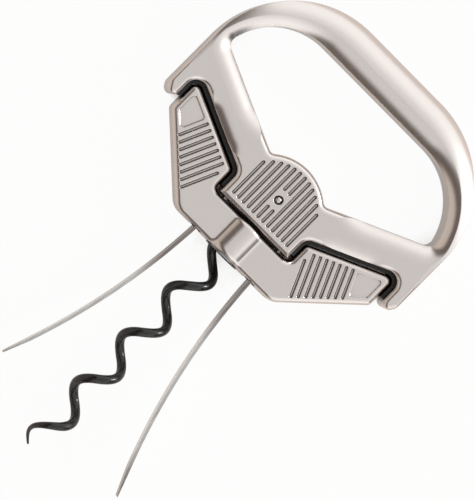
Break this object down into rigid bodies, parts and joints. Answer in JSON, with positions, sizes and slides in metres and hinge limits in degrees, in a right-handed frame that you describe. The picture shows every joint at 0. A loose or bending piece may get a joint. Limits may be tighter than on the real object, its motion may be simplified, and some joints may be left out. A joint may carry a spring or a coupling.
{
  "type": "two-blade cork puller with worm",
  "caption": "Loop handle with two spring blades and a nested winged bar that carries a coated worm, for pulling old or fragile corks.",
  "frame": {"origin": "on the flat back of the centre boss, behind the cross pin and on the axis of the worm", "axes": "+Z out of the front face, +Y along the worm towards the top of the loop, +X to the right"},
  "size_m": [0.0848, 0.1404, 0.014],
  "materials": {
    "satin_casting": "satin nickel over a zinc die casting",
    "plain_steel": "plain machined steel",
    "polished_pin": "polished steel pin",
    "spring_steel": "satin spring steel",
    "black_coating": "semi-gloss black non-stick coating",
    "black_liner": "matte black moulded strip"
  },
  "bodies": {
    "handle": {"handle_frame": "satin_casting", "blade_block": "plain_steel", "cross_pin": "polished_pin", "short_blade_pin": "polished_pin", "long_blade_pin": "polished_pin", "left_liner": "black_liner", "right_liner": "black_liner"},
    "bar": {"wing_bar": "satin_casting", "worm": "black_coating", "worm_hub": "plain_steel", "mouth_ring": "plain_steel"},
    "short_blade": {"short_blade": "spring_steel"},
    "long_blade": {"long_blade": "spring_steel"}
  },
  "joints": [
    {"name": "bar_slide", "type": "slide", "parent": "handle", "child": "bar", "axis": [0, -1, 0], "range_m": [0, 0.058]},
    {"name": "short_blade_flex", "type": "hinge", "parent": "handle", "child": "short_blade", "pos_m": [-0.0088, -0.006, 0.007], "axis": [0, 0, 1], "range_deg": [0, 9], "stiffness_Nm_per_rad": 0.6},
    {"name": "long_blade_flex", "type": "hinge", "parent": "handle", "child": "long_blade", "pos_m": [0.0088, -0.006, 0.007], "axis": [0, 0, -1], "range_deg": [0, 9], "stiffness_Nm_per_rad": 0.6}
  ],
  "couplings": [
    {"joint": "short_blade_flex", "follows": "bar_slide", "rad_per_m": 2.6738},
    {"joint": "long_blade_flex", "follows": "bar_slide", "rad_per_m": 2.6738}
  ]
}
